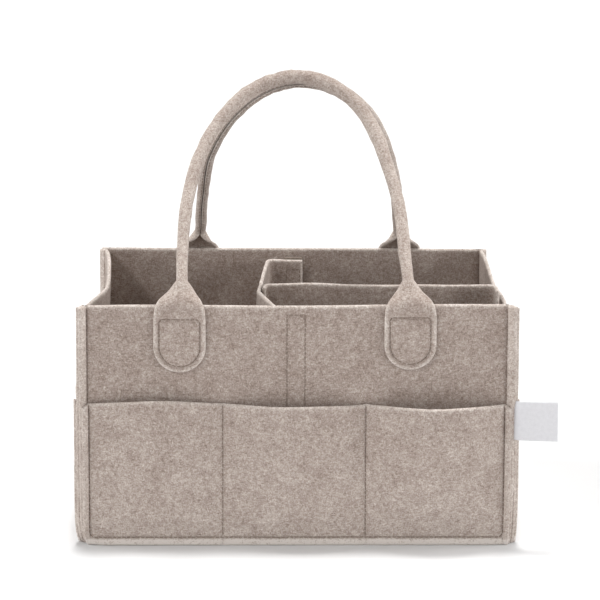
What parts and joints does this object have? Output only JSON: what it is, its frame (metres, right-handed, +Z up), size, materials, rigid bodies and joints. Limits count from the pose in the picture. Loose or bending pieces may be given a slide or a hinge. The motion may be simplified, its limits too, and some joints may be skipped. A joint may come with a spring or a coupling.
{
  "type": "felt caddy",
  "caption": "Open felt storage caddy with sewn outside pockets, two arched fold-over handles and a lift-out divider held by hook-and-loop tape.",
  "frame": {"origin": "middle of the base's underside, on the surface that the caddy stands on", "axes": "+X to the right along the front wall, +Y from the front wall to the back wall, +Z up"},
  "size_m": [0.3667, 0.2481, 0.3442],
  "materials": {
    "felt": "matte heathered wool felt",
    "loop_tape": "brushed loop pile",
    "hook_tape": "moulded hooks on woven tape",
    "tag": "smooth woven ribbon",
    "cord": "twisted cotton"
  },
  "bodies": {
    "caddy": {"base_panel": "felt", "front_panel": "felt", "back_panel": "felt", "left_side_panel": "felt", "right_side_panel": "felt", "front_pocket": "felt", "back_pocket": "felt", "left_side_pocket": "felt", "right_side_pocket": "felt", "front_left_tab": "felt", "front_right_tab": "felt", "back_left_tab": "felt", "back_right_tab": "felt", "front_loop_tape": "loop_tape", "back_loop_tape": "loop_tape", "side_loop_tape": "loop_tape", "label_tag": "tag"},
    "front_handle": {"front_handle_cover": "felt", "front_handle_core": "cord"},
    "back_handle": {"back_handle_cover": "felt", "back_handle_core": "cord"},
    "divider": {"cross_divider": "felt", "long_divider": "felt", "front_hook_tape": "hook_tape", "back_hook_tape": "hook_tape", "side_hook_tape": "hook_tape"}
  },
  "joints": [
    {"name": "front_handle_fold", "type": "hinge", "parent": "caddy", "child": "front_handle", "pos_m": [-0.0016, -0.11229, 0.1863], "axis": [1, 0, 0], "range_deg": [0, 190]},
    {"name": "back_handle_fold", "type": "hinge", "parent": "caddy", "child": "back_handle", "pos_m": [0.004, 0.11229, 0.1863], "axis": [-1, 0, 0], "range_deg": [0, 190]},
    {"name": "divider_lift", "type": "slide", "parent": "caddy", "child": "divider", "axis": [0, 0, 1], "range_m": [0, 0.14]}
  ]
}
